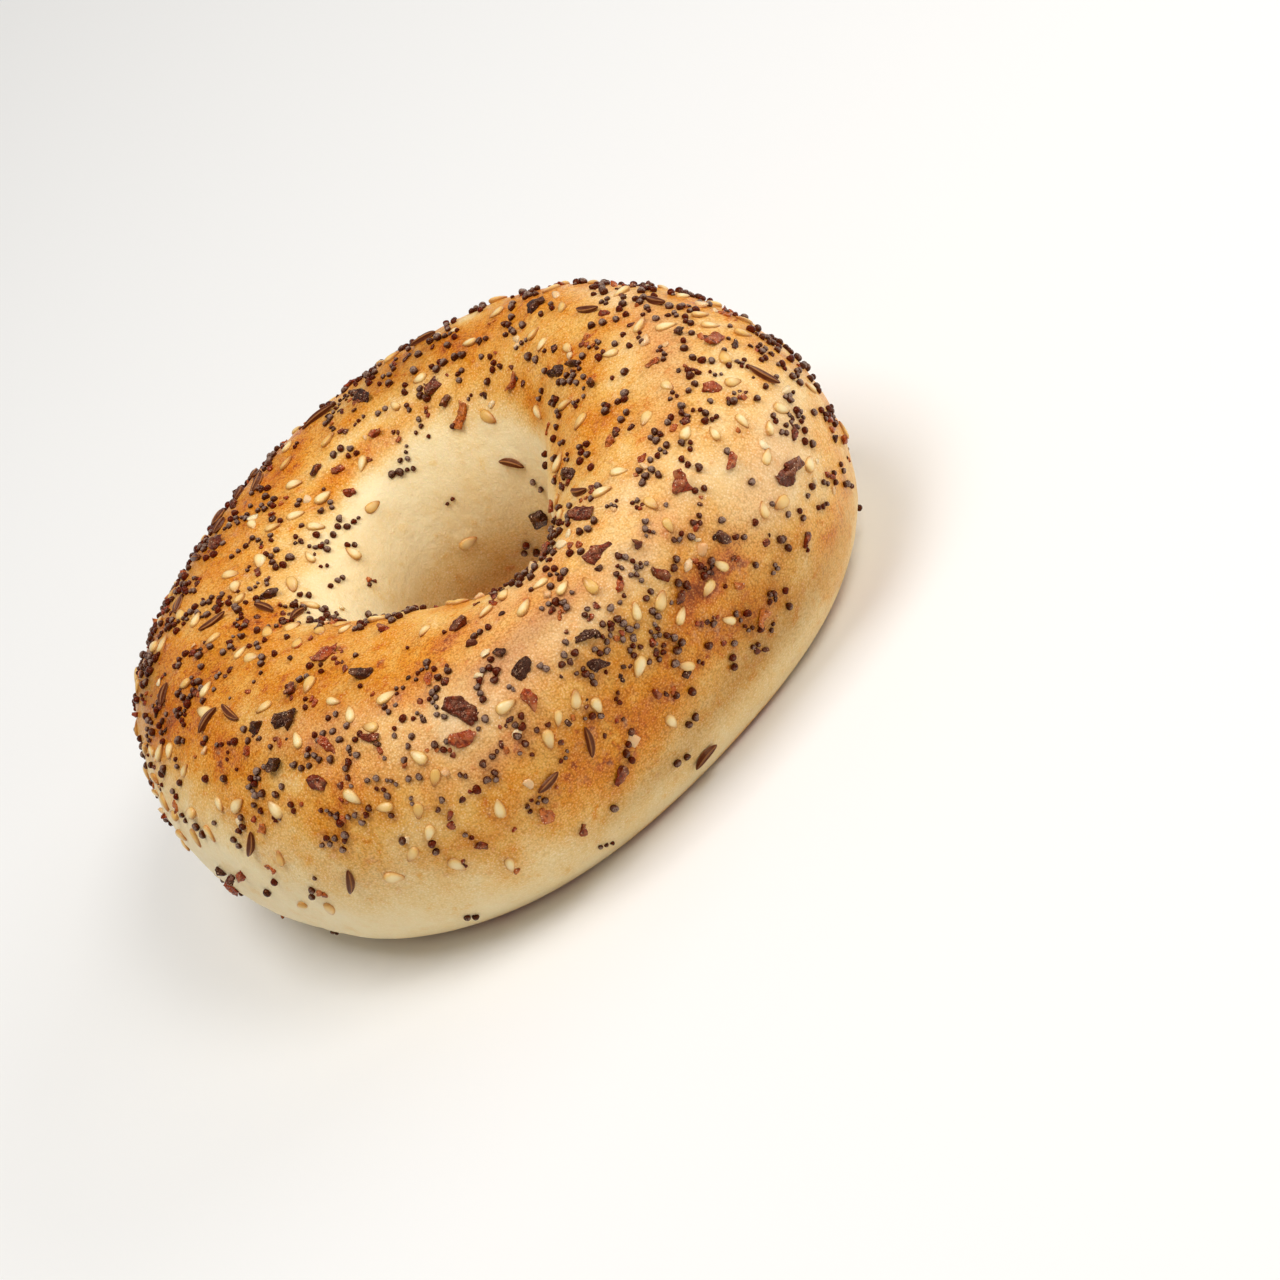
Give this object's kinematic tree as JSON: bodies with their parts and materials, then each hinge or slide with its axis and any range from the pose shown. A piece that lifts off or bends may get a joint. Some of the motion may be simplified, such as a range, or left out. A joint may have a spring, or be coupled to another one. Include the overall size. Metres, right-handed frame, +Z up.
{
  "type": "bagel",
  "caption": "Thick uneven ring of baked bread with a glossy browned crown, pale sides, an open hole and seeds and onion flakes baked on.",
  "frame": {"origin": "on the table, below the middle of the bagel", "axes": "+Z up through the hole, the bagel lying flat on its baked base; -Y is the side with the nick in the hole's edge"},
  "size_m": [0.1111, 0.1068, 0.0426],
  "materials": {
    "crust": "baked crust, satin, browned on the crown and cream on the sides",
    "poppy_seed": "blue-black, pitted",
    "sesame_seed": "toasted cream, satin",
    "caraway_seed": "brown with paler ribs",
    "onion_flake": "dried, red-brown to charred",
    "salt_grain": "coarse, glassy white"
  },
  "bodies": {
    "root": {"bagel": "crust"}
  },
  "joints": []
}
